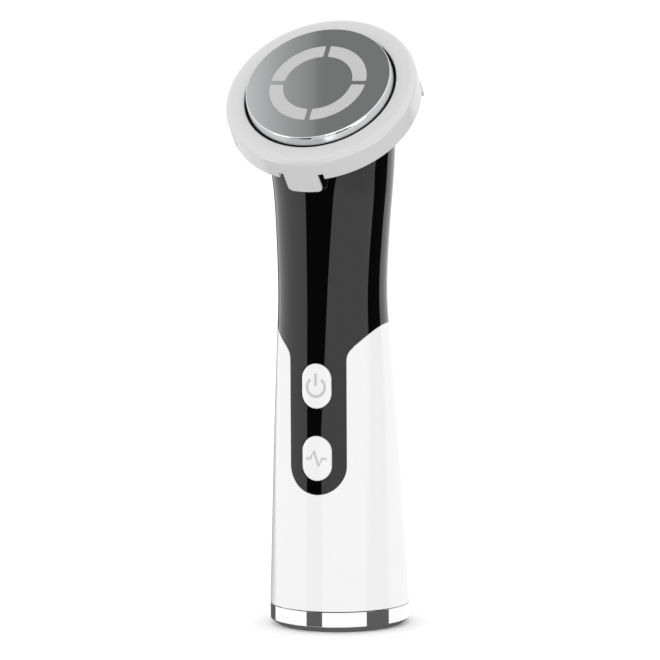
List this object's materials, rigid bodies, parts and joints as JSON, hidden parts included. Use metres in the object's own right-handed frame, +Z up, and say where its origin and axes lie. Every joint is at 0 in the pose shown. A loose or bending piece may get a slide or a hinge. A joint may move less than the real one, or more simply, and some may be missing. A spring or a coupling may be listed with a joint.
{
  "type": "facial care wand",
  "caption": "Standing facial care wand: tilted round metal head with milky light windows and a clip-on cotton ring, tapering two-tone handle with two press buttons, chromed base.",
  "frame": {"origin": "centre of the underside of the base, on the surface it stands on", "axes": "+Z up along the handle; the buttons and the head's lower edge face -Y; +X is to the right as the buttons are faced"},
  "size_m": [0.0566, 0.0545, 0.177],
  "materials": {
    "gloss_white_abs": "glossy moulded",
    "gloss_black_abs": "piano gloss",
    "satin_white_abs": "semi-gloss moulded",
    "chromed_abs": "mirror plated",
    "polished_steel": "mirror polished",
    "milky_lens": "translucent milky",
    "gasket_rubber": "matte",
    "inner_abs": "moulded",
    "circuit_board": "solder mask",
    "chip_epoxy": "moulded",
    "screw_steel": "zinc plated",
    "brass": "turned",
    "white_nylon": "moulded",
    "cell_wrap": "shrink film",
    "red_lead": "insulated lead",
    "black_lead": "insulated lead"
  },
  "bodies": {
    "handle": {"head_base": "gloss_black_abs", "head_gasket": "gasket_rubber", "led_board": "circuit_board", "head_screw_1": "screw_steel", "head_screw_2": "screw_steel", "head_screw_3": "screw_steel", "treatment_plate": "polished_steel", "window_lens": "milky_lens", "contact_spring_left": "brass", "contact_spring_right": "brass", "led_front_right": "white_nylon", "led_back_right": "white_nylon", "led_back_left": "white_nylon", "led_front_left": "white_nylon", "base_ring": "chromed_abs", "base_cap": "inner_abs", "base_screw_left": "screw_steel", "base_screw_right": "screw_steel", "usb_socket": "screw_steel", "charge_board": "circuit_board", "charge_chip": "chip_epoxy", "white_sleeve": "gloss_white_abs", "neck_cover": "gloss_black_abs", "power_switch": "chip_epoxy", "mode_switch": "chip_epoxy", "inner_frame": "inner_abs", "main_board": "circuit_board", "board_screw_1": "screw_steel", "board_screw_2": "screw_steel", "board_screw_3": "screw_steel", "board_screw_4": "screw_steel", "controller_chip": "chip_epoxy", "driver_chip": "chip_epoxy", "boost_coil": "chip_epoxy", "battery_socket": "white_nylon", "battery": "cell_wrap", "motor_bracket": "inner_abs", "bracket_screw_left": "screw_steel", "bracket_screw_right": "screw_steel", "motor_can": "screw_steel", "motor_lead_black": "black_lead", "charge_lead_black": "black_lead", "battery_lead_black": "black_lead", "motor_lead_red": "red_lead", "charge_lead_red": "red_lead", "battery_lead_red": "red_lead", "head_lead": "black_lead"},
    "power_button": {"power_button": "satin_white_abs", "power_switch_pin": "white_nylon"},
    "mode_button": {"mode_button": "satin_white_abs", "mode_switch_pin": "white_nylon"},
    "rotor": {"motor_shaft": "screw_steel", "eccentric_weight": "brass"},
    "cotton_ring": {"cotton_ring": "satin_white_abs"}
  },
  "joints": [
    {"name": "power_press", "type": "slide", "parent": "handle", "child": "power_button", "axis": [0, 1, 0], "range_m": [0, 0.0005], "stiffness_N_per_m": 2000},
    {"name": "mode_press", "type": "slide", "parent": "handle", "child": "mode_button", "axis": [0, 1, 0], "range_m": [0, 0.0005], "stiffness_N_per_m": 2000},
    {"name": "motor_spin", "type": "hinge", "parent": "handle", "child": "rotor", "pos_m": [0, -0.0046, 0.12], "axis": [0, 0, 1], "continuous": true},
    {"name": "ring_lift", "type": "slide", "parent": "handle", "child": "cotton_ring", "axis": [0, -0.7193, 0.6947], "range_m": [0, 0.024]}
  ]
}
